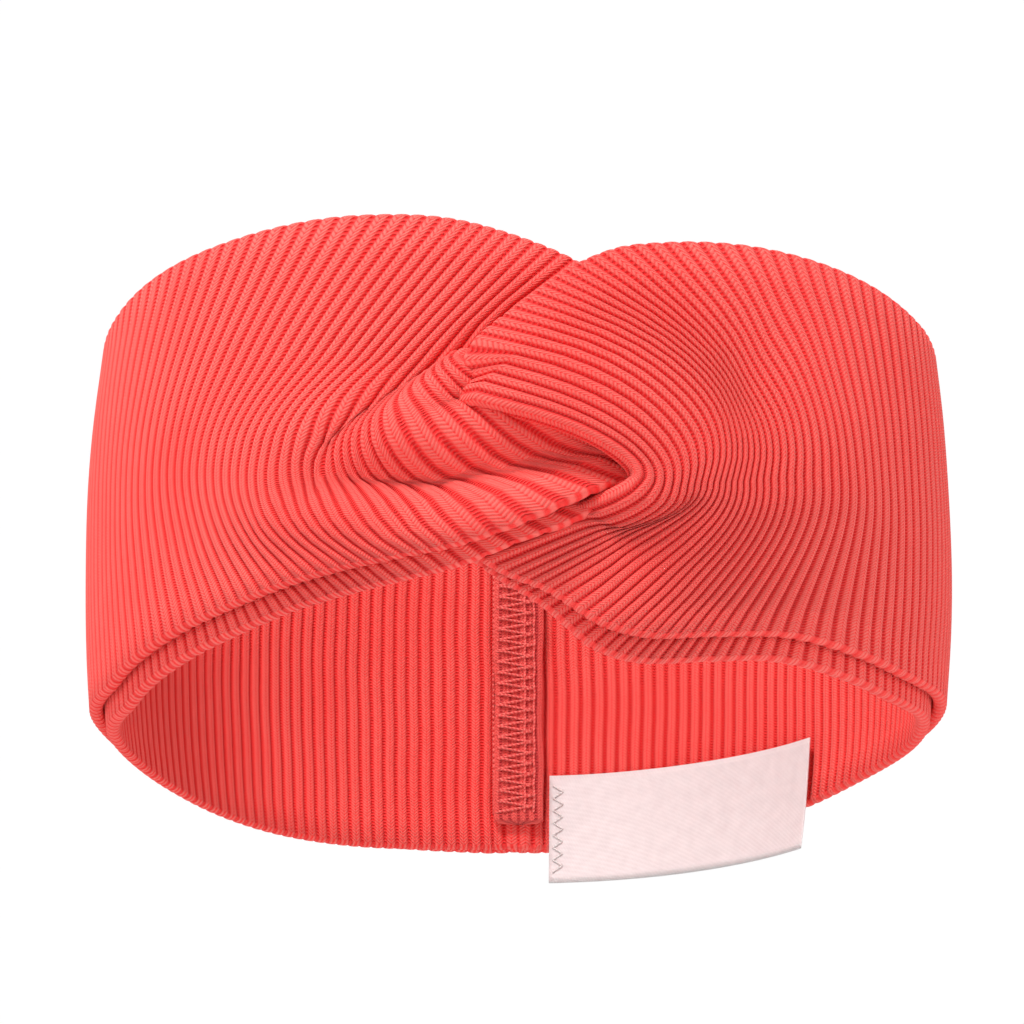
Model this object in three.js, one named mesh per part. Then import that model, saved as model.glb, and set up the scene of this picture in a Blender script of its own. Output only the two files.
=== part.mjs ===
// Twist-front headband: two double-ply rib-knit loops hooked through each other at the forehead
// and sewn together at the nape. The ring stands level: +Z up, the twist faces -Y, +X is the
// viewer's right, and the origin is the centre of the head opening at mid-height. Millimetres.
//
// Every piece is laid out flat first, as [along, up, out]: along the girth from the forehead, up,
// and out from the head's surface. wrap() then rolls it round the head.

import * as THREE from 'three'

// ---- driving dimensions -----------------------------------------------------------------------
const headRadius = 86            // inside of the band on a 54 cm head
const barrelInset = 2.5          // the band's edges lie this much closer to the head's axis
const stripWidth = 84            // top edge to bottom edge of a loop laid flat
const runThickness = 2.2         // one run: a knit tube pressed flat, two plies
const runGap = 1.0               // free space between the outer and the inner run
const innerRunDrop = 4           // the inner run peeps out this far below the outer run
const sewnGap = 0.3              // clearance between pieces that touch on the real object
const headClearance = 0.4        // inner run to the head

const twistAlong = 5             // centre of the twist, right of the middle
const twistUp = -4               // centre of the twist, below mid-height
const twistReach = 46            // how far from its centre the twist gathers the strips
const bightReach = 30            // outer radius of the gathered turn of a loop
const bundleThickness = 5        // gathered strip where it turns back
const bundleSpacing = 5.6        // front bundle to back bundle, centre to centre

const seamRidgeWidth = 3         // lengthwise seam of each knit tube
const seamRidgeThickness = 0.4
const seamRidgeUp = 3            // seam line to the middle of the strip
const seamRidgeStart = 60        // the ridge shows from here to the nape
const allowanceWidth = 12        // overlocked raw ends at the nape, pressed flat on the inside
const allowanceThickness = 3.2
const allowanceInset = 3         // the allowance stops this far short of the band's edges
const threadWidth = 0.9          // overlock stitches over the allowance
const threadThickness = 0.5
const threadPasses = 24           // passes of the overlock thread across the allowance

const labelLength = 72           // care label, sewn end to free end
const labelWidth = 26
const labelThickness = 0.5
const labelHang = 11             // label below the band's lower edge
const labelSwingGap = 1.5        // room beside the allowance for the label to swing on its sewn end
const labelTackPasses = 7
const labelTackWidth = 2.4
const labelTackInset = 2.5       // tack stitches stop this far from the label's long edges

// ---- worked out from the sizes above ------------------------------------------------------------
const innerRunOut = headClearance + runThickness / 2
const outerRunOut = innerRunOut + runThickness + runGap
const middleOut = (innerRunOut + outerRunOut) / 2
const runRise = (outerRunOut - innerRunOut) / 2
const girthRadius = headRadius + middleOut
const halfGirth = Math.PI * girthRadius
const bundleRise = bundleSpacing / 2
const bundleHalfThick = bundleThickness / 2
const bundleCentre = (bightReach + sewnGap / 2) / 2
const bundleHalfWide = bundleCentre - sewnGap / 2
const twistLift = bundleRise + 2 * bundleThickness - middleOut / 2 - headClearance - bundleHalfThick
const allowanceOut = headClearance - sewnGap - allowanceThickness / 2
const allowanceHeight = stripWidth - 2 * allowanceInset
const threadOut = allowanceOut - allowanceThickness / 2 - sewnGap - threadThickness / 2
const labelOut = headClearance - sewnGap - labelThickness / 2
const labelTackOut = labelOut - labelThickness / 2 - sewnGap - threadThickness / 2
const labelBottom = -stripWidth / 2 - labelHang
const labelMiddle = labelBottom + labelWidth / 2
const labelRoot = halfGirth - allowanceWidth / 2 - labelSwingGap

const sectionCorners = 24
const bightSteps = 16
const twistSteps = 18
const wallSteps = 30

// ---- materials ----------------------------------------------------------------------------------
const coralKnit = new THREE.MeshStandardMaterial({ color: 0xf2504c, roughness: 0.92, metalness: 0 })
const coralEdge = new THREE.MeshStandardMaterial({ color: 0xd8403f, roughness: 0.95, metalness: 0 })
const coralThread = new THREE.MeshStandardMaterial({ color: 0xe8605a, roughness: 0.6, metalness: 0 })
const satinLabel = new THREE.MeshStandardMaterial({ color: 0xe9d9d6, roughness: 0.45, metalness: 0 })
const whiteThread = new THREE.MeshStandardMaterial({ color: 0xf4efe9, roughness: 0.6, metalness: 0 })

// ---- helpers ------------------------------------------------------------------------------------
const mix = (from, to, t) => from + (to - from) * t

const smooth = (t) => {
  const x = Math.min(Math.max(t, 0), 1)
  return x * x * (3 - 2 * x)
}

const steps = (count, make) => Array.from({ length: count + 1 }, (_, i) => make(i / count))

// Rolls a flat [along, up, out] point round the head.
function wrap([along, up, out]) {
  const angle = along / girthRadius
  const radius = headRadius + out - barrelInset * (2 * up / stripWidth) ** 2
  return [radius * Math.sin(angle), -radius * Math.cos(angle), up]
}

// Six times the signed volume of a closed triangle mesh: positive when its faces point out.
function signedVolume(positions, faces) {
  const corner = (i) => new THREE.Vector3().fromArray(positions, 3 * i)
  let sum = 0
  for (let i = 0; i < faces.length; i += 3) {
    const [a, b, c] = [corner(faces[i]), corner(faces[i + 1]), corner(faces[i + 2])]
    sum += a.dot(b.cross(c))
  }
  return sum
}

// Triangles of one closed body through a row of cuts, each a ring of flat points.
function skin(cuts) {
  const ring = cuts[0].length
  const positions = cuts.flat().flatMap(wrap)
  const last = (cuts.length - 1) * ring
  const faces = []
  for (let cut = 0; cut + 1 < cuts.length; cut++) {
    for (let i = 0; i < ring; i++) {
      const a = cut * ring + i
      const b = cut * ring + (i + 1) % ring
      faces.push(a, b, a + ring, b, b + ring, a + ring)
    }
  }
  for (let i = 1; i + 1 < ring; i++) {
    faces.push(0, i + 1, i, last, last + i, last + i + 1)
  }
  if (signedVolume(positions, faces) < 0) faces.reverse()
  return { positions, faces }
}

// One named mesh from a closed body.
function mesh(name, material, { positions, faces }) {
  const geometry = new THREE.BufferGeometry()
  geometry.setAttribute('position', new THREE.Float32BufferAttribute(positions, 3))
  geometry.setIndex(faces)
  geometry.computeVertexNormals()
  const made = new THREE.Mesh(geometry, material)
  made.name = name
  return made
}

// Flat ribbon along a row of [along, up] points at one distance out, with mitred corners. A wide
// one has `strips` facets across, so that it follows the barrel of the head.
function ribbon(route, out, width, thickness, strips = 1) {
  const points = route.map(([along, up]) => new THREE.Vector2(along, up))
  const normal = (from, to) => {
    const run = points[to].clone().sub(points[from]).normalize()
    return new THREE.Vector2(-run.y, run.x)
  }
  const last = points.length - 1
  return skin(points.map((point, i) => {
    const before = normal(Math.max(i - 1, 0), Math.max(i, 1))
    const after = normal(Math.min(i, last - 1), Math.min(i + 1, last))
    const mitre = before.clone().add(after).multiplyScalar(width / 2 / (1 + before.dot(after)))
    const corner = (side, face) =>
      [point.x + side * mitre.x, point.y + side * mitre.y, out + face * thickness / 2]
    return [
      ...steps(strips, (t) => corner(mix(1, -1, t), -1)),
      ...steps(strips, (t) => corner(mix(-1, 1, t), 1)),
    ]
  }))
}

// Straight run of points for a ribbon that follows the head's girth.
const girthwise = (from, to, up, count) => steps(count, (t) => [mix(from, to, t), up])

// Back-and-forth stitch route: `rows` passes between two places along, climbing from low to high.
function serpentine(near, far, low, high, rows) {
  return steps(rows - 1, (t) => mix(low, high, t)).flatMap((up, row) =>
    row % 2 ? [[far, up], [near, up]] : [[near, up], [far, up]])
}

// ---- the two knit loops -------------------------------------------------------------------------
// A loop is worked out in the twist's own frame: [away from the twist's centre, up, rise from the
// middle of the two runs]. The right loop is laid out here, and the left one is it turned half a
// turn about the line of sight. The inner run is the outer one turned half a turn about +X.

// Top of the other loop's turn, which lies under the outer run.
function bightTop(away, up) {
  const radius = Math.max(Math.hypot(away, up), 1e-6)
  const across = (radius - bundleCentre) / bundleHalfWide
  const arch = Math.sqrt(Math.max(1 - across * across, 0))
  return bundleHalfThick * arch - bundleRise * up / radius
}

// Height of the outer run's middle surface, draped over the other loop's turn.
function outerRise(away, up, halfThick) {
  const free = mix(bundleRise, runRise, smooth(away / twistReach))
  const past = smooth((Math.hypot(away, up) - bightReach) / (twistReach - bightReach))
  const rest = mix(bightTop(away, up) + sewnGap + halfThick, -bundleThickness, past)
  const round = mix(0, 1, smooth(away / 10))
  return (free + rest + Math.hypot(free - rest, round)) / 2
}

// One cut through the outer run.
function runCut(away) {
  const opened = smooth(away / twistReach)
  const top = mix(bundleCentre + bundleHalfWide, stripWidth / 2, opened)
  const bottom = mix(bundleCentre - bundleHalfWide, -stripWidth / 2, opened)
  const gathered = bundleThickness * 2 * bundleHalfWide / (top - bottom)
  const halfThick = Math.max(gathered, runThickness) / 2
  const flatness = mix(2, 22, opened)
  return steps(sectionCorners - 1, (t) => {
    const turn = 2 * Math.PI * t * (sectionCorners - 1) / sectionCorners
    const across = Math.cos(turn)
    const bulge = Math.sqrt(1 - Math.abs(across) ** flatness) * Math.sign(Math.sin(turn))
    const up = mix(bottom, top, (1 + across) / 2)
    return [away, up, outerRise(away, up, halfThick) + halfThick * bulge]
  })
}

// One cut through the turn of a loop, from +90 degrees at the outer run to -90 at the inner one.
function bightCut(angle) {
  return steps(sectionCorners - 1, (t) => {
    const turn = 2 * Math.PI * t * (sectionCorners - 1) / sectionCorners
    const radius = bundleCentre + bundleHalfWide * Math.cos(turn)
    const rise = bundleRise * Math.sin(angle) + bundleHalfThick * Math.sin(turn)
    return [-radius * Math.cos(angle), radius * Math.sin(angle), rise]
  })
}

// The inner run's cut, in the same corner order as the turn's last cut.
const innerCut = (away) => runCut(away).map(([a, up, rise]) => [a, -up, -rise]).map(
  (_, i, all) => all[(sectionCorners - i) % sectionCorners])

// From the twist's frame to the flat layout. side is +1 for the right loop, -1 for the left.
function layOut([away, up, rise], side, runEnd, drop) {
  const settled = smooth((away - bightReach) / twistReach)
  const sag = drop * Math.sin(Math.PI * Math.min(Math.max(away / runEnd, 0), 1)) * settled
  const lift = twistLift * (1 - smooth(Math.abs(away) / (1.3 * twistReach)))
  return [
    twistAlong + side * away,
    side * up + mix(twistUp, 0, settled) - sag,
    middleOut + lift + rise,
  ]
}

function knitLoop(name, side) {
  const runEnd = halfGirth - side * twistAlong - sewnGap / 2
  const stations = [
    ...steps(twistSteps, (t) => mix(0, 1.4 * twistReach, t)),
    ...steps(wallSteps, (t) => mix(1.4 * twistReach, runEnd, t)).slice(1),
  ]
  const place = (drop) => (cut) => cut.map((point) => layOut(point, side, runEnd, drop))
  const outer = stations.map(runCut).map(place(0)).reverse()
  const turn = steps(bightSteps, (t) => bightCut(mix(Math.PI / 2, -Math.PI / 2, t)))
  const inner = stations.map(innerCut).map(place(innerRunDrop))
  return mesh(name, coralKnit, skin([...outer, ...turn.slice(1, -1).map(place(0)), ...inner]))
}

// ---- sewn pieces --------------------------------------------------------------------------------
// The lengthwise seam of a tube, on the hidden face of one of its two runs.
function tubeSeam(name, side, up) {
  const start = twistAlong + side * seamRidgeStart
  const end = side * (halfGirth - sewnGap / 2)
  const route = girthwise(start, end, up, wallSteps)
  return mesh(name, coralEdge, ribbon(route, middleOut, seamRidgeWidth, seamRidgeThickness))
}

function backAllowance() {
  const reach = allowanceWidth / 2
  const route = girthwise(halfGirth - reach, halfGirth + reach, 0, 4)
  return mesh('back_seam_allowance', coralEdge,
    ribbon(route, allowanceOut, allowanceHeight, allowanceThickness, 16))
}

// Overlock thread over the raw ends.
function overlockThread() {
  const reach = allowanceWidth / 2 - threadWidth
  const high = allowanceHeight / 2 - threadWidth
  const route = serpentine(halfGirth - reach, halfGirth + reach, -high, high, threadPasses)
  return mesh('overlock_thread', coralThread, ribbon(route, threadOut, threadWidth, threadThickness))
}

function careLabel() {
  const route = girthwise(labelRoot, labelRoot - labelLength, labelMiddle, 12)
  return mesh('care_label', satinLabel, ribbon(route, labelOut, labelWidth, labelThickness, 6))
}

// Zigzag that tacks the label down at its sewn end.
function labelStitching() {
  const near = labelRoot - threadWidth
  const reach = labelWidth / 2 - labelTackInset
  const low = labelMiddle - reach
  const high = labelMiddle + reach
  const route = serpentine(near, near - labelTackWidth, low, high, labelTackPasses)
  return mesh('label_stitches', whiteThread, ribbon(route, labelTackOut, threadWidth, threadThickness))
}

const group = new THREE.Group()
group.add(
  knitLoop('left_loop', -1),
  knitLoop('right_loop', 1),
  tubeSeam('left_outer_tube_seam', -1, seamRidgeUp),
  tubeSeam('left_inner_tube_seam', -1, -seamRidgeUp),
  tubeSeam('right_outer_tube_seam', 1, seamRidgeUp),
  tubeSeam('right_inner_tube_seam', 1, -seamRidgeUp),
  backAllowance(),
  overlockThread(),
  careLabel(),
  labelStitching(),
)

export default group
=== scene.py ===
"""Twist-front headband: the visual model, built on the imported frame.

Each knit loop is a double-ply rib-knit strip. Its ribs are laid out flat first, in millimetres, as
(along the girth, up, out from the head), and rolled round the head at the end.
"""
import math

import bmesh
import bpy
import numpy as np
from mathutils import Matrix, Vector


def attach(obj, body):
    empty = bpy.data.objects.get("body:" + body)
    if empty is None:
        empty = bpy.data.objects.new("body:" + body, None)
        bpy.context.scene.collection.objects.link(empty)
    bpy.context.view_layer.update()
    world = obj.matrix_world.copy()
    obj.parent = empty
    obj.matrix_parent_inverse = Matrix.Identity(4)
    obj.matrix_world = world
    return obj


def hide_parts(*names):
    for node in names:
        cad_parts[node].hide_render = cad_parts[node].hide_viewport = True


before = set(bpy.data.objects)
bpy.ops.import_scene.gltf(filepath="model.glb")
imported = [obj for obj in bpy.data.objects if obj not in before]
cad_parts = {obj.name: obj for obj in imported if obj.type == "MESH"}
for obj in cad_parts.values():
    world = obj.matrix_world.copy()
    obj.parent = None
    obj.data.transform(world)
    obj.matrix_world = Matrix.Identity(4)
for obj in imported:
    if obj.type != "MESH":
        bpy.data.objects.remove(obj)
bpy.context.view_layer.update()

# ---- sizes shared with the CAD model, in millimetres --------------------------------------------
HEAD_RADIUS = 86.0
BARREL_INSET = 2.5
STRIP_WIDTH = 84.0
MIDDLE_OUT = 3.1            # middle of the two runs, out from the head
RUN_RISE = 1.6              # middle of the two runs to the middle of either
GIRTH_RADIUS = HEAD_RADIUS + MIDDLE_OUT
HALF_GIRTH = math.pi * GIRTH_RADIUS
SEAM_OVERLAP = 0.25         # the loops are sewn through each other at the back seam
NAPE_PINCH = 7.0            # the runs dip into the back seam over this distance

ALLOWANCE_WIDE, ALLOWANCE_HIGH, ALLOWANCE_THICK, ALLOWANCE_OUT = 12.0, 78.0, 3.2, -1.5
ALLOWANCE_RIB = 2.2         # ribs of the cut ends
OVERLOCK_PITCH = 2.6
OVERLOCK_HALF = 36.5        # the stitches reach this far up and down

LABEL_ROOT = HALF_GIRTH - 7.5
LABEL_LONG, LABEL_WIDE, LABEL_MIDDLE, LABEL_OUT = 71.5, 26.0, -40.0, -0.45
LABEL_CURL = 0.9            # the free end leans in by this much
LABEL_GAP = 0.14            # between the ribbon's two leaves at their ends
LEAF_HALF = 0.09            # half the ribbon's thickness

# ---- the knit -----------------------------------------------------------------------------------
RIB_PITCH = 2.5             # at the gathered end
REAR_PITCH = 3.0            # towards the nape
RIB_HEIGHT = 0.44           # rib top to the middle of the relief
STITCH_PITCH = 0.72         # height of one knitted course
RUN_HALF = 1.0              # half the thickness of a run at the middle of its relief
EDGE_HALF = 1.5             # the same at its rolled long edges
INNER_DROP = 4.0            # the inner run peeps out this far below the outer one
RIB_PROFILE = ((0.0, -1.0), (0.08, -0.3), (0.22, 0.55), (0.5, 0.8), (0.78, 0.55), (0.92, -0.3))

# ---- the twist ----------------------------------------------------------------------------------
TWIST = np.array([8.2, -7.0])      # its centre: along, up
FRONT_OUT = 9.2                    # middle of the loop that lies in front
TWIST_REACH, TWIST_FADE = 36, 50   # the front layer stands out this far round, then sinks back
LAYER_LOW, LAYER_HIGH = -0.45, -0.05   # part of the width where a loop passes between the layers
FOLD_REACH, FOLD_FADE = 60, 40     # folds keep their height this far along the strip, then fade
GATHER_END = 130.0                 # the strips lie flat beyond this distance from their gathered end

# Each loop from its gathered end (0) towards the nape. Guide lines: distance along the strip, then
# away from the twist's centre and up. "front" is the long edge that crosses in front, "back" the
# other one, and "middle" is where the ribs turn. "wall" takes over past the guides: share of the way
# to the nape, then top and bottom edge from mid-height. "rounding" softens the ribs' turn, near the
# gathered end and far from it. "bow" pushes their front halves aside, by distance. "folds" are soft:
# height, half width, and a line of (away, up) points. "dives" tuck part of the gathered end under
# the other loop: depth, then where it fades out along the strip and sets in across it. "settle"
# widens the slope from the front layer to the back one. "inner_shift" slides the inner run towards
# the twist. "crowding" widens the ribs' pitch, in millimetres, where the gathers crowd them.
RIGHT = {
    "side": 1,
    "front": ((0, -21, 6), (10, -16, 14.2), (24, -5.2, 24.2), (37, 4.9, 32), (45, 12.3, 35.6),
              (56, 23.3, 38), (70, 37.5, 40.2), (83, 51, 42), (100, 70, 44.2),
              (GATHER_END, 102, 45)),
    "rounding": (0.14, 0.55),
    "middle": ((0, 13.2, -9.8), (5, 16.8, -11), (10, 20, -11), (20, 25.4, -9.3), (35, 32.5, -8),
               (50, 39.8, -6), (70, 51.6, -2.5), (90, 66, 1.5), (110, 83.5, 5),
               (GATHER_END, 102, 7)),
    "back": ((0, -18, -22), (6, -12.2, -26.5), (19, -0.4, -31.5), (31, 10.5, -37.3),
             (38, 16.9, -38.7), (58, 35.5, -37.6), (76, 52.4, -35.4), (97, 72.7, -34.2),
             (114, 88, -33.4), (GATHER_END, 102, -32)),
    "wall": ((0, 38, -39), (0.22, 38, -35), (0.45, 38.5, -35), (0.6, 38.5, -37.5), (1, 39.5, -43)),
    "bow": ((0, 2.6), (12, 5.6), (25, 8), (50, 4), (85, 0)),
    "folds": (
        (1.2, 7.0, ((-8, 14), (4, 9), (16, 0))),
        (-1.4, 6.0, ((30, 2), (36, 18), (44, 34))),
        (-0.6, 7.0, ((28, -16), (20, -27), (12, -38))),
    ),
    "dives": ((6.0, 4, 13, 0.84, 1.0),),
    "settle": 0.45,
    "crowding": 1.0,
    "inner_shift": 0.0,
}
LEFT = {
    "side": -1,
    "front": ((0, -20, -3), (4, -14, -8), (9, -3.5, -13), (13, 6, -18), (18, 16.8, -22),
              (29, 30, -25), (44, 43.5, -26.6), (64, 60, -27.5), (88, 80, -28.6),
              (107, 97, -30.5), (GATHER_END, 117, -32.5)),
    "rounding": (0.22, 0.3),
    "middle": ((0, 18.3, 13.2), (4, 20.8, 11.7), (16.5, 31, 4.5), (29, 41.5, -1),
               (36, 48, -1.2), (50, 60, 0),
               (70, 74.5, 3.5), (94, 91, 7), (GATHER_END, 117, 7.5)),
    "back": ((0, -13, 26), (15, -4.5, 33.8), (22, 2, 37.4), (29, 9, 40.3), (43, 23, 44.7),
             (60, 41.5, 47.2),
             (80, 63, 48.7), (98, 82, 49), (GATHER_END, 117, 47.5)),
    "wall": ((0, 40.5, -39.5), (0.25, 40, -36.5), (0.42, 39.5, -37.5), (0.65, 39, -41.5),
             (1, 39.5, -43)),
    "bow": ((0, -1), (6, 1), (16, 2), (30, 2), (60, 1), (85, 0)),
    "folds": (
        (-4.0, 3.4, ((13, 20), (23, 12.5), (34, 5.5), (44, 0))),
        (2.4, 5.0, ((8, 6), (18, 1), (34, -4))),
        (-5.0, 6.4, ((-4, -3.5), (6, -8), (22, -11), (46, -8))),
        (2.2, 4.6, ((-4, -13), (8, -17), (30, -19), (54, -14.5))),
    ),
    "dives": ((5.0, 5, 16, 0.0, 0.25), (3.0, 1, 7, 0.6, 1.0), (6.0, 7, 17, -0.08, -0.34)),
    "settle": 0.0,
    "crowding": 0.8,
    "inner_shift": 3.5,
}


def smooth(t):
    t = np.clip(t, 0.0, 1.0)
    return t * t * (3 - 2 * t)


def spline(keys, s):
    """Smooth line through (distance, x, y) keys, straight beyond the last one."""
    keys = np.array(keys, float)
    at, value = keys[:, 0], keys[:, 1:]
    slope = np.gradient(value, at, axis=0)
    i = np.clip(np.searchsorted(at, s, side="right") - 1, 0, len(at) - 2)
    span = (at[i + 1] - at[i])[..., None]
    t = (s - at[i])[..., None] / span
    inside = ((1 + 2 * t) * (1 - t) ** 2 * value[i] + t * (1 - t) ** 2 * span * slope[i]
              + t * t * (3 - 2 * t) * value[i + 1] + t * t * (t - 1) * span * slope[i + 1])
    past = np.maximum(s - at[-1], 0)[..., None]
    run_on = value[-1] + past * np.eye(1, value.shape[1])[0]
    return np.where(past > 0, run_on, inside)


def run_length(path):
    """Distance along a path at each of its points."""
    return np.concatenate([[0], np.cumsum(np.linalg.norm(np.diff(path, axis=0), axis=1))])


def fold_height(folds, plan):
    """Height of the soft folds at plan points: each fades out sideways and at both its ends."""
    total = np.zeros(plan.shape[:-1])
    for height, half_width, line in folds:
        line = np.array(line, float)
        length = run_length(line)
        best = np.full(plan.shape[:-1], 1e9)
        at = np.zeros(plan.shape[:-1])
        for a, b, from_start in zip(line, line[1:], length):
            run = b - a
            t = np.clip(((plan - a) @ run) / (run @ run), 0, 1)
            away = np.linalg.norm(plan - a - t[..., None] * run, axis=-1)
            closer = away < best
            best = np.where(closer, away, best)
            at = np.where(closer, from_start + t * np.linalg.norm(run), at)
        fade = np.sin(math.pi * np.clip(0.12 + 0.76 * at / length[-1], 0, 1)) ** 0.7
        total += height * fade * np.exp(-(best / half_width) ** 2)
    return total


def stack(loop, s, w, s_end):
    """Middle surface of a loop's two runs: flat points at distance s and width w, from -1 to 1,
    where +1 is the long edge that crosses in front."""
    front, middle, back = (spline(loop[k], s) for k in ("front", "middle", "back"))
    side = loop["side"]
    edges = spline(loop["wall"], (s - GATHER_END) / (s_end - GATHER_END)) - TWIST[1]
    top, bottom = edges[..., 0], edges[..., 1]
    past = s > GATHER_END
    for line, up in ((front, top if side > 0 else bottom), (middle, (top + bottom) / 2),
                     (back, bottom if side > 0 else top)):
        line[..., 1] = np.where(past, up, line[..., 1])
    tight, loose = loop["rounding"]
    soft = tight + (loose - tight) * smooth(s / 80)
    reach = np.sqrt(w * w + soft * soft)
    turn_in = (soft / 2)[..., None]
    middle = (middle - turn_in * (front + back)) / (1 - 2 * turn_in)
    plan = middle + ((reach + w) / 2)[..., None] * (front - middle) \
        + ((reach - w) / 2)[..., None] * (back - middle)
    bow = spline(loop["bow"], np.minimum(s, 84))[..., 0]
    to_front = unit(front - middle)
    outward = np.stack([to_front[..., 1], -to_front[..., 0]], -1) * side
    plan = plan + (bow * np.sin(math.pi * np.clip(w, 0, 1) ** 0.8))[..., None] * outward
    near = 1 - smooth((np.hypot(plan[..., 0], plan[..., 1]) - TWIST_REACH) / TWIST_FADE)
    low = LAYER_LOW - loop["settle"] * smooth((s - 8) / 25)
    out = MIDDLE_OUT + near * smooth((w - low) / (LAYER_HIGH - low)) * (FRONT_OUT - MIDDLE_OUT)
    for depth, s_from, s_to, w_from, w_to in loop["dives"]:
        along = 1 - smooth((s - s_from) / (s_to - s_from))
        out -= depth * along * smooth((w - w_from) / (w_to - w_from))
    faded = 1 - smooth((s - FOLD_REACH) / FOLD_FADE)
    out += fold_height(loop["folds"], plan) * faded * smooth((w + 0.75) / 0.3)
    out -= RUN_RISE * smooth((s - s_end + NAPE_PINCH) / NAPE_PINCH)
    return np.dstack([plan, out])


def wrap(points):
    along, up, out = points[..., 0], points[..., 1], points[..., 2]
    angle = along / GIRTH_RADIUS
    radius = HEAD_RADIUS + out - BARREL_INSET * (2 * up / STRIP_WIDTH) ** 2
    return np.stack([radius * np.sin(angle), -radius * np.cos(angle), up], -1) / 1000


def unit(v):
    return v / np.maximum(np.linalg.norm(v, axis=-1, keepdims=True), 1e-9)


def section():
    """Points round one run's section: across, -1 to 1; how far beyond the long edge; and face."""
    t = np.linspace(-1, 1, 26)[1:-1]
    flat = 0.55 * t + 0.45 * t ** 3
    turn = np.linspace(math.pi / 2, -math.pi / 2, 7)[1:-1]
    ones = np.ones_like
    across = np.concatenate([flat, ones(turn), flat[::-1], -ones(turn)])
    beyond = np.concatenate([0 * flat, np.cos(turn), 0 * flat, -np.cos(turn)])
    face = np.concatenate([ones(flat), np.sin(turn), -ones(flat), -np.sin(turn)])
    return across, beyond, face


def loop_length(loop):
    """From a loop's gathered end to the back seam."""
    flat_at = loop["middle"][-1][1]
    return GATHER_END + HALF_GIRTH + SEAM_OVERLAP - flat_at - TWIST[0] * loop["side"]


def place(loop, points):
    """Flat points relative to the twist, to the object's frame in metres."""
    points = points.copy()
    points[..., :2] = points[..., :2] * np.array([loop["side"], 1.0]) + TWIST
    return wrap(points + sway(points, loop["side"]))


def rib_pitch(loop, s):
    """Wider where the gathers would crowd the ribs at mid-height."""
    crowded = loop["crowding"] * (1 - smooth((s - GATHER_END) / 60))
    return RIB_PITCH + (REAR_PITCH - RIB_PITCH + crowded) * smooth((s - 30) / 45)


def knit_loop(name, loop):
    s_end = loop_length(loop)
    turn = math.pi / 2 * RUN_RISE
    sigma_end = s_end + turn - RUN_RISE
    grid = np.linspace(0, sigma_end, 400)
    between = (grid[1:] + grid[:-1]) / 2
    count = np.concatenate([[0], np.cumsum(np.diff(grid) / rib_pitch(loop, between))])
    ribs = int(round(count[-1]))
    phase, height = np.array(RIB_PROFILE).T
    rib = np.append((np.arange(-ribs, ribs)[:, None] + phase).ravel(), ribs)
    sigma = np.sign(rib) * np.interp(np.abs(rib), count * ribs / count[-1], grid)
    relief = np.append(np.tile(height, 2 * ribs), -1.0) * RIB_HEIGHT

    turning = np.abs(sigma) < turn
    bend = np.sign(sigma) * np.minimum(np.abs(sigma), turn) / RUN_RISE
    s = np.where(turning, RUN_RISE * (1 - np.cos(bend)), np.abs(sigma) - turn + RUN_RISE)
    nape = smooth((s - s_end + NAPE_PINCH) / NAPE_PINCH)
    puff = 1 + 0.35 * (1 - smooth(np.abs(sigma) / 25)) - 0.25 * nape
    rise = RUN_RISE * puff * np.sin(bend)

    across, beyond, face = section()
    S, W = np.meshgrid(s, across, indexing="ij")
    middle = stack(loop, S, W, s_end)
    e_w = unit(stack(loop, S, W + 0.01, s_end) - stack(loop, S, W - 0.01, s_end))
    along_s = stack(loop, S + 0.5, W, s_end) - middle
    e_s = unit(along_s - (along_s * e_w).sum(-1, keepdims=True) * e_w)
    normal = np.cross(e_s, e_w)
    normal *= np.sign(normal[..., 2:3])
    turned = np.cos(bend)[:, None, None] * e_s * turning[:, None, None]
    sheet_normal = unit(np.sin(bend)[:, None, None] * normal - turned)

    half = RUN_HALF + (EDGE_HALF - RUN_HALF) * smooth((np.abs(W) - 0.88) / 0.09)
    thick = half + relief[:, None] * (1 - 0.55 * smooth((np.abs(W) - 0.9) / 0.1))
    points = (middle + rise[:, None, None] * normal + (thick * face)[..., None] * sheet_normal
              + (thick * beyond)[..., None] * e_w)
    inner = (sigma < 0)[:, None]
    points[..., 1] -= INNER_DROP * inner * smooth((S - 4) / 26) \
        * (1 - smooth((S / s_end - 0.7) / 0.3))
    points[..., 0] -= loop["inner_shift"] * inner * smooth(S / 6) * (1 - smooth((S - 12) / 25)) \
        * smooth((W - 0.3) / 0.5)
    courses = W * STRIP_WIDTH / 2 / STITCH_PITCH
    uv = np.stack([np.broadcast_to(rib[:, None], courses.shape), courses], -1).reshape(-1, 2)
    return solid(name, place(loop, points).reshape(-1, 3), ring_faces(*points.shape[:2]), uv)


def sway(points, side):
    """Small slow waver of worn knit, in the flat layout."""
    along, up = points[..., 0], points[..., 1]
    return np.stack([
        0.13 * np.sin(up / 7.3 + along / 23 + side) + 0.06 * np.sin(up / 3.1 - along / 11),
        0.15 * np.sin(along / 9.5 + side),
        0.2 + 0.2 * np.sin(along / 17 + up / 14) * np.sin(up / 19 - along / 29 + 2 * side),
    ], -1)


def ring_faces(rows, count, first=0):
    """Quads between rings of points, and a cap at either end."""
    index = first + np.arange(rows * count).reshape(rows, count)
    beside = np.roll(index, -1, axis=1)
    quads = np.stack([index[:-1], index[1:], beside[1:], beside[:-1]], -1).reshape(-1, 4)
    return quads.tolist() + [index[0].tolist(), index[-1][::-1].tolist()]


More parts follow.
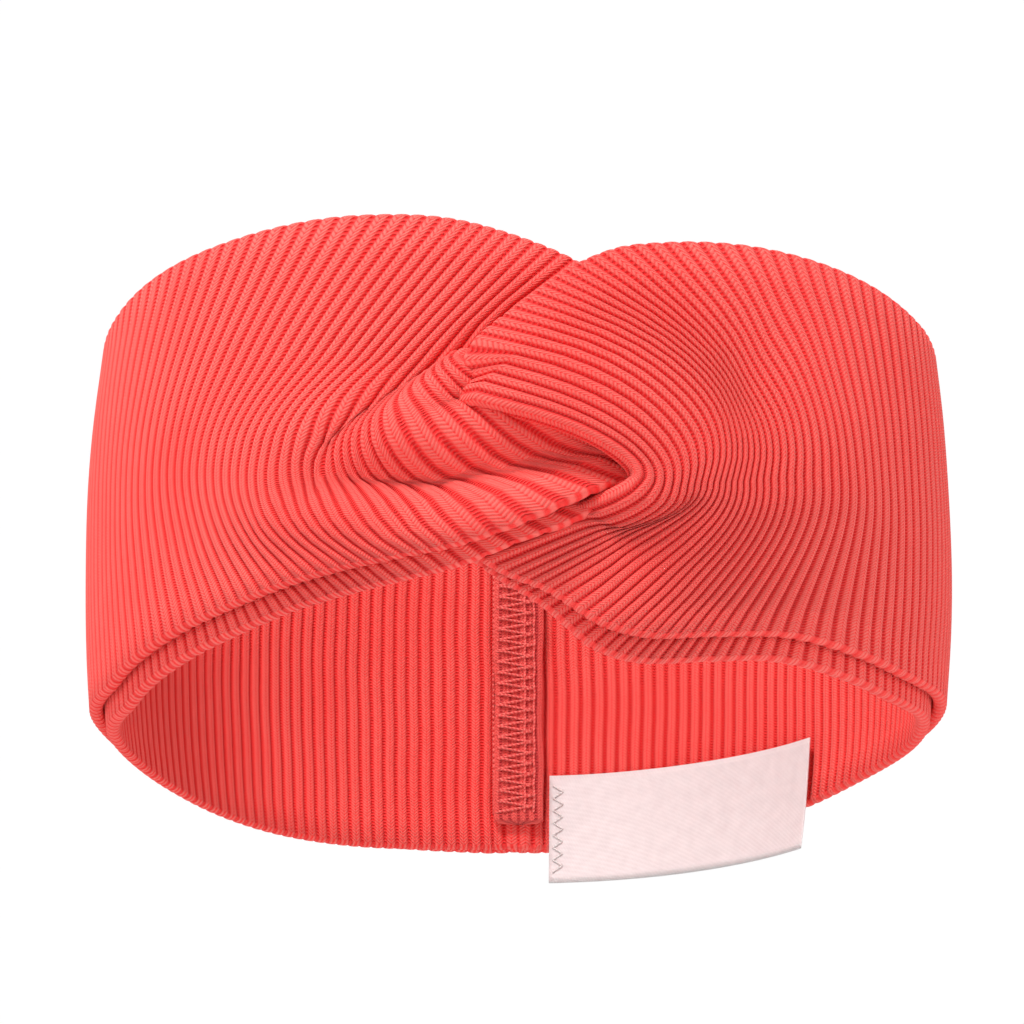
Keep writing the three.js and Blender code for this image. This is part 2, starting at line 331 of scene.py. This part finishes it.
def solid(name, points, faces, uv):
    """Smooth closed mesh object with its faces pointing out."""
    mesh = bpy.data.meshes.new(name)
    mesh.from_pydata(np.asarray(points).tolist(), [], faces)
    layer = mesh.uv_layers.new(name="cloth")
    corner = np.empty(len(mesh.loops), int)
    mesh.loops.foreach_get("vertex_index", corner)
    layer.data.foreach_set("uv", uv[corner].ravel().astype(np.float32))
    work = bmesh.new()
    work.from_mesh(mesh)
    if work.calc_volume(signed=True) < 0:
        bmesh.ops.reverse_faces(work, faces=work.faces)
    work.to_mesh(mesh)
    work.free()
    mesh.polygons.foreach_set("use_smooth", [True] * len(mesh.polygons))
    mesh.update()
    piece = bpy.data.objects.new(name, mesh)
    bpy.context.scene.collection.objects.link(piece)
    return piece


# ---- materials ----------------------------------------------------------------------------------
class Nodes:
    """Short way to write a material's node tree."""

    def __init__(self, name, roughness, sheen=0.0):
        self.material = bpy.data.materials.new(name)
        self.material.use_nodes = True
        self.tree = self.material.node_tree
        self.shader = self.tree.nodes["Principled BSDF"]
        self.shader.inputs["Roughness"].default_value = roughness
        self.shader.inputs["Sheen Weight"].default_value = sheen

    def node(self, kind, **settings):
        node = self.tree.nodes.new("ShaderNode" + kind)
        for key, value in settings.items():
            setattr(node, key, value)
        return node

    def put(self, value, socket):
        if hasattr(value, "is_output"):
            self.tree.links.new(value, socket)
        else:
            socket.default_value = value

    def math(self, operation, *values):
        node = self.node("Math", operation=operation)
        for value, socket in zip(values, node.inputs):
            self.put(value, socket)
        return node.outputs[0]

    def ramp(self, value, low, high, to_low=0.0, to_high=1.0):
        node = self.node("MapRange", interpolation_type="SMOOTHSTEP")
        for v, socket in zip((value, low, high, to_low, to_high), node.inputs):
            self.put(v, socket)
        return node.outputs[0]

    def mix(self, factor, a, b):
        node = self.node("Mix", data_type="RGBA")
        self.put(factor, node.inputs["Factor"])
        self.put(a, node.inputs["A"])
        self.put(b, node.inputs["B"])
        return node.outputs["Result"]

    def noise(self, scale, detail=2.0):
        spot = self.node("TexCoord").outputs["Object"]
        node = self.node("TexNoise")
        self.put(spot, node.inputs["Vector"])
        node.inputs["Scale"].default_value = scale
        node.inputs["Detail"].default_value = detail
        return node.outputs["Fac"]

    def uv(self):
        split = self.node("SeparateXYZ")
        self.put(self.node("TexCoord").outputs["UV"], split.inputs[0])
        return split.outputs[0], split.outputs[1]

    def wave(self, value, turns=1.0):
        """From -1 to 1 and back, once for each 1/turns of the value."""
        return self.math("COSINE", self.math("MULTIPLY", value, 2 * math.pi * turns))

    def stripe(self, value, turns=1.0):
        """The same from 0 to 1."""
        return self.math("MULTIPLY_ADD", self.wave(value, turns), 0.5, 0.5)

    def finish(self, color, height=None, distance=0.0002):
        self.put(color, self.shader.inputs["Base Color"])
        if height is not None:
            bump = self.node("Bump")
            bump.inputs["Distance"].default_value = distance
            bump.inputs["Strength"].default_value = 1.0
            self.put(height, bump.inputs["Height"])
            self.put(bump.outputs["Normal"], self.shader.inputs["Normal"])
        return self.material


def rib_knit(name, top, shade, painted_groove_shade):
    """Ribs of V stitches with painted light and shade: lit rib tops, shaded yarn flanks, and painted
    shade in the dotted channel between the ribs. UV counts ribs and courses.
    """
    n = Nodes(name, 0.9, sheen=0.08)
    n.shader.inputs["Sheen Roughness"].default_value = 0.45
    n.shader.inputs["Sheen Tint"].default_value = (1.0, 0.55, 0.5, 1)
    ribs, courses = n.uv()
    across = n.math("ABSOLUTE", n.math("SUBTRACT", n.math("FRACT", ribs), 0.5))
    leg = n.math("ADD", courses, n.math("MULTIPLY", across, 3.2))
    yarn = n.stripe(leg)
    dots = n.stripe(courses)
    spine = n.ramp(across, 0.0, 0.09)
    channel = n.ramp(across, 0.24, 0.41)
    body = n.math("MULTIPLY", n.math("MULTIPLY_ADD", yarn, 0.6, 0.4),
                  n.math("MULTIPLY_ADD", spine, 0.4, 0.6))
    fuzz = n.noise(5200.0, 3.0)
    cloud = n.noise(38.0, 3.0)
    # Painted light and shade on the yarn: the lit crowns of the V legs take the top colour, while
    # their flanks and the crease down the rib's middle take the shade colour. The fuzz adds pale
    # painted glints.
    yarn_light_and_shade = n.ramp(n.math("ADD", n.math("MULTIPLY", body, 0.8), n.math("MULTIPLY", fuzz, 0.6)),
                  0.42, 0.95)
    color = n.mix(yarn_light_and_shade, (*shade, 1), (*top, 1))
    # Painted shade: the channel between the ribs darkens towards the groove shade colour, most at
    # the stitch holes along it.
    color = n.mix(n.math("MULTIPLY", channel, n.math("MULTIPLY_ADD", dots, 0.4, 0.6)),
                  color, (*painted_groove_shade, 1))
    color = n.mix(n.ramp(cloud, 0.35, 0.75, 0.0, 0.2), color, (*shade, 1))
    height = n.math("SUBTRACT", n.math("ADD", body, n.math("MULTIPLY", fuzz, 0.35)),
                    n.math("MULTIPLY", channel, n.math("MULTIPLY_ADD", dots, 0.7, 0.4)))
    return n.finish(color, height, 0.00025)


def twisted_thread(name, light, dark):
    """Two-ply sewing thread. UV runs along it and round it."""
    n = Nodes(name, 0.6, sheen=0.1)
    along, round_it = n.uv()
    ply = n.stripe(n.math("ADD", along, round_it))
    fibre = n.noise(9000.0, 2.0)
    # Painted shade: the groove between the two plies takes the dark colour, and the ply crowns take
    # the light one.
    color = n.mix(n.math("MULTIPLY", ply, n.math("MULTIPLY_ADD", fibre, 0.5, 0.6)),
                  (*dark, 1), (*light, 1))
    return n.finish(color, n.math("ADD", ply, n.math("MULTIPLY", fibre, 0.3)), 0.00012)


def satin(name, light, dark):
    """Fine woven satin ribbon with a denser woven border. UV in millimetres, along and across."""
    n = Nodes(name, 0.34, sheen=0.15)
    n.shader.inputs["Anisotropic"].default_value = 0.6
    along, across = n.uv()
    warp = n.stripe(across, 3.2)
    weft = n.stripe(n.math("ADD", along, n.math("MULTIPLY", across, 0.3)), 2.6)
    border = n.ramp(n.math("ABSOLUTE", across), 11.6, 12.0)
    slub = n.noise(420.0, 3.0)
    weave = n.math("ADD", n.math("MULTIPLY", warp, 0.6),
                   n.math("MULTIPLY", weft, n.math("MULTIPLY_ADD", border, 0.5, 0.3)))
    color = n.mix(n.math("MULTIPLY", n.math("ADD", weave, slub), 0.6), (*dark, 1), (*light, 1))
    return n.finish(color, weave, 0.00006)


# ---- pieces -------------------------------------------------------------------------------------
def add(piece, material, body, node):
    piece.data.materials.append(material)
    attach(piece, body)
    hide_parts(node)
    return piece


def tubes(name, paths, half_across, half_out, to_frame=wrap):
    """Closed oval tubes along flat paths, in one mesh, with UV along and round them."""
    corners, faces, uv = [], [], []
    turn = np.linspace(0, 2 * math.pi, 8, endpoint=False)
    for path in paths:
        path = np.asarray(path, float)
        tangent = unit(np.gradient(path, axis=0))
        lift = unit(np.array([0, 0, 1.0]) - tangent * tangent[:, 2:3])
        across = np.cross(tangent, lift)
        ring = (path[:, None] + half_across * np.cos(turn)[:, None] * across[:, None]
                + half_out * np.sin(turn)[:, None] * lift[:, None])
        faces += ring_faces(*ring.shape[:2], first=sum(len(c) for c in corners))
        length = run_length(path)
        corners.append(to_frame(ring).reshape(-1, 3))
        round_it = turn / (2 * math.pi)
        uv.append(np.stack(np.broadcast_arrays(length[:, None], round_it), -1).reshape(-1, 2))
    return solid(name, np.concatenate(corners), faces, np.concatenate(uv))


def lofted(name, rings, uv):
    """Closed mesh through rings of flat points."""
    return solid(name, wrap(rings).reshape(-1, 3), ring_faces(*rings.shape[:2]), uv.reshape(-1, 2))


def squared(v):
    """Rounded square from a circle's cosine or sine."""
    return np.sign(v) * np.abs(v) ** 0.55


def seam_allowance():
    """The overlocked raw ends at the nape: lumpy between the stitches that wrap them."""
    up = np.linspace(-ALLOWANCE_HIGH / 2, ALLOWANCE_HIGH / 2, 181)
    turn = np.linspace(0, 2 * math.pi, 56, endpoint=False)
    x, y = squared(np.cos(turn)), squared(np.sin(turn))
    end = np.sqrt(1 - np.clip((np.abs(up) - 38) / 1.02, 0, 0.98) ** 2)[:, None]
    pulled = 1 - 0.1 * np.cos(2 * math.pi * up / OVERLOCK_PITCH)[:, None] ** 8
    ribbed = 1 + 0.08 * np.cos(2 * math.pi * x * ALLOWANCE_WIDE / 2 / ALLOWANCE_RIB)[None, :]
    waver = 0.35 * np.sin(up / 6.3)[:, None] * x + 0.2 * np.sin(up / 2.7 + 1)[:, None]
    along = HALF_GIRTH + ALLOWANCE_WIDE / 2 * x * end * (0.97 + 0.03 * pulled) + waver * 0.5
    out = ALLOWANCE_OUT + ALLOWANCE_THICK / 2 * y * end * pulled * ribbed - 0.1 * np.abs(waver)
    rings = np.stack(np.broadcast_arrays(along, up[:, None], out), -1)
    ribs = x[None] * ALLOWANCE_WIDE / 2 / ALLOWANCE_RIB
    uv = np.stack(np.broadcast_arrays(ribs, up[:, None] / STITCH_PITCH), -1)
    return lofted("seam_allowance_fabric", rings, uv)


def overlock_stitches():
    """Two needle lines, looper threads across to the raw edge, and the chain along it."""
    face = ALLOWANCE_OUT - ALLOWANCE_THICK / 2
    up = np.linspace(-OVERLOCK_HALF, OVERLOCK_HALF, 56 * 12 + 1)
    phase = up / OVERLOCK_PITCH
    swing = np.abs((phase % 1) * 2 - 1)
    swing = swing + 0.06 * np.sin(2 * math.pi * swing)
    across = -3.9 + 9.9 * swing
    wrapped = smooth((across - 4.4) / 1.6)
    looper = np.stack([HALF_GIRTH + across, up, face - 0.22 + 1.5 * wrapped], -1)
    paths = [looper]
    for line in (-3.9, -1.6):
        dash = 0.22 * np.cos(2 * math.pi * phase)
        paths.append(np.stack([HALF_GIRTH + line + 0.1 * np.sin(up), up, face - 0.3 + dash], -1))
    chain = 0.35 * np.sin(2 * math.pi * phase * 2)
    paths.append(np.stack([HALF_GIRTH + 6.1 + 0 * up, up, ALLOWANCE_OUT - 0.2 + chain], -1))
    return tubes("overlock_stitches", paths, 0.3, 0.26)


def label_ribbon():
    """Satin ribbon folded over at its free end: two leaves, a little apart and curled."""
    t = np.linspace(0, 1, 61)
    turn = np.linspace(math.pi / 2, -math.pi / 2, 9)
    apart = LABEL_GAP + 0.55 * np.sin(math.pi * t) ** 2
    curl = -LABEL_CURL * t ** 3
    outer = np.stack([LABEL_LONG * t, LABEL_OUT + LABEL_GAP + curl], -1)
    bend = np.stack([LABEL_LONG + LABEL_GAP * np.cos(turn),
                     LABEL_OUT - LABEL_CURL + LABEL_GAP * np.sin(turn)], -1)
    inner = np.stack([LABEL_LONG * t, LABEL_OUT - apart + curl], -1)[::-1]
    path = np.concatenate([outer[:-1], bend, inner[1:]])
    tangent = unit(np.gradient(path, axis=0))
    normal = np.stack([-tangent[:, 1], tangent[:, 0]], -1)
    v = np.linspace(-1, 1, 17)
    across = np.concatenate([v, v[::-1]])
    face = np.concatenate([np.ones_like(v), -np.ones_like(v)]) * LEAF_HALF
    along = LABEL_ROOT - path[:, :1] - normal[:, :1] * face
    up = LABEL_MIDDLE + LABEL_WIDE / 2 * across + 0 * path[:, :1]
    droop = -0.5 * (path[:, :1] / LABEL_LONG) ** 2 * (0.5 - across / 2) ** 2
    out = path[:, 1:] + normal[:, 1:] * face + droop
    rings = np.stack(np.broadcast_arrays(along, up, out), -1)
    length = run_length(path)
    uv = np.stack(np.broadcast_arrays(length[:, None], LABEL_WIDE / 2 * across), -1)
    return lofted("satin_label", rings, uv)


def label_tack():
    """Zigzag through the label's sewn end."""
    up = np.linspace(-10.5, 10.5, 14 * 10 + 1)
    swing = np.abs((up / 3 % 1) * 2 - 1)
    path = np.stack([LABEL_ROOT - 0.9 - 2.4 * swing, LABEL_MIDDLE + up,
                     LABEL_OUT - 0.38 + 0 * up], -1)
    return tubes("label_zigzag", [path], 0.2, 0.17)


def tube_seam(name, loop, lift):
    """Ridge of a knit tube's lengthwise seam, between the two runs."""
    s_end = loop_length(loop)
    s = np.linspace(GATHER_END - 42, s_end, 90)[:, None]
    path = stack(loop, s, np.full_like(s, 0.07 * loop["side"]), s_end)[:, 0]
    path[:, 2] += lift
    return tubes(name, [path], 1.5, 0.14, lambda ring: place(loop, ring))


# Knit colours: the lit rib tops, the painted shade on the yarn, and the painted shade in the grooves
# between the ribs.
coral = rib_knit("coral_rib_knit", (0.98, 0.15, 0.125), (0.95, 0.014, 0.013),
                 (0.9, 0.001, 0.003))
# A darker copy of the same knit, as painted shade, for the tube seams between the runs and the seam
# allowance inside the nape.
coral_knit_in_shade = rib_knit("coral_seam_knit_painted_shade", (0.86, 0.12, 0.1), (0.74, 0.05, 0.045),
                        (0.5, 0.012, 0.018))
coral_thread = twisted_thread("coral_overlock_thread", (0.95, 0.2, 0.165), (0.75, 0.05, 0.045))
white_thread = twisted_thread("white_label_thread", (0.9, 0.88, 0.86), (0.7, 0.66, 0.64))
label_satin = satin("satin_ribbon", (0.85, 0.8, 0.79), (0.62, 0.56, 0.56))

for side_name, loop in (("left", LEFT), ("right", RIGHT)):
    knit = add(knit_loop(side_name + "_knit_loop", loop), coral, "band",
               side_name + "_loop")
    for run, lift in (("outer", 0.16), ("inner", -0.16)):
        add(tube_seam(f"{side_name}_{run}_seam_ridge", loop, lift), coral_knit_in_shade, "band",
            f"{side_name}_{run}_tube_seam")
fabric = add(seam_allowance(), coral_knit_in_shade, "band", "back_seam_allowance")
add(overlock_stitches(), coral_thread, "band", "overlock_thread")
ribbon = add(label_ribbon(), label_satin, "label", "care_label")
add(label_tack(), white_thread, "label", "label_stitches")


# ---- camera, light and floor --------------------------------------------------------------------
def camera():
    """A metre off, below the band's plane, as in the photograph."""
    data = bpy.data.cameras.new("camera")
    data.lens = 163.9
    data.sensor_width = 36
    data.shift_x = -6.5 / 1024
    view = bpy.data.objects.new("camera", data)
    bpy.context.scene.collection.objects.link(view)
    tilt = math.radians(19)
    view.location = (0, -math.cos(tilt), -math.sin(tilt) + 0.008)
    view.rotation_euler = (math.pi / 2 + tilt, 0, 0)
    bpy.context.scene.camera = view


def area_light(name, spot, size, power):
    """Soft light aimed at the object."""
    data = bpy.data.lights.new(name, "AREA")
    data.size = size
    data.energy = power
    light = bpy.data.objects.new(name, data)
    bpy.context.scene.collection.objects.link(light)
    light.location = spot
    light.rotation_mode = "QUATERNION"
    light.rotation_quaternion = Vector(-np.array(spot)).to_track_quat("-Z", "Y")


def floor():
    bpy.ops.mesh.primitive_plane_add(size=8, location=(0, 0, -0.6))
    plane = bpy.context.object
    plane.name = "floor"
    n = Nodes("pale_floor", 0.9)
    pale = n.mix(n.noise(2.0), (0.9, 0.9, 0.9, 1), (0.93, 0.93, 0.93, 1))
    plane.data.materials.append(n.finish(pale))


def backdrop():
    """White paper all round, seen by the camera only: it neither lights nor shades the object."""
    bpy.ops.mesh.primitive_uv_sphere_add(radius=9, segments=48, ring_count=24)
    paper = bpy.context.object
    paper.name = "backdrop"
    n = Nodes("white_paper", 1.0)
    n.shader.inputs["Base Color"].default_value = (0, 0, 0, 1)
    n.shader.inputs["Emission Color"].default_value = (1, 1, 1, 1)
    n.shader.inputs["Emission Strength"].default_value = 1.0
    paper.data.materials.append(n.material)
    for ray in ("diffuse", "glossy", "shadow", "transmission"):
        setattr(paper, "visible_" + ray, False)


camera()
floor()
backdrop()
bpy.context.scene.view_settings.view_transform = "Standard"
area_light("key", (-0.4, -0.8, 1.2), 0.35, 19)
area_light("left", (-1.2, -0.5, 0.2), 0.7, 4.5)
area_light("right", (1.2, -0.5, 0.1), 0.7, 4.5)
world = bpy.data.worlds.new("studio")
world.use_nodes = True
world.node_tree.nodes["Background"].inputs["Color"].default_value = (1, 1, 1, 1)
world.node_tree.nodes["Background"].inputs["Strength"].default_value = 0.58
bpy.context.scene.world = world
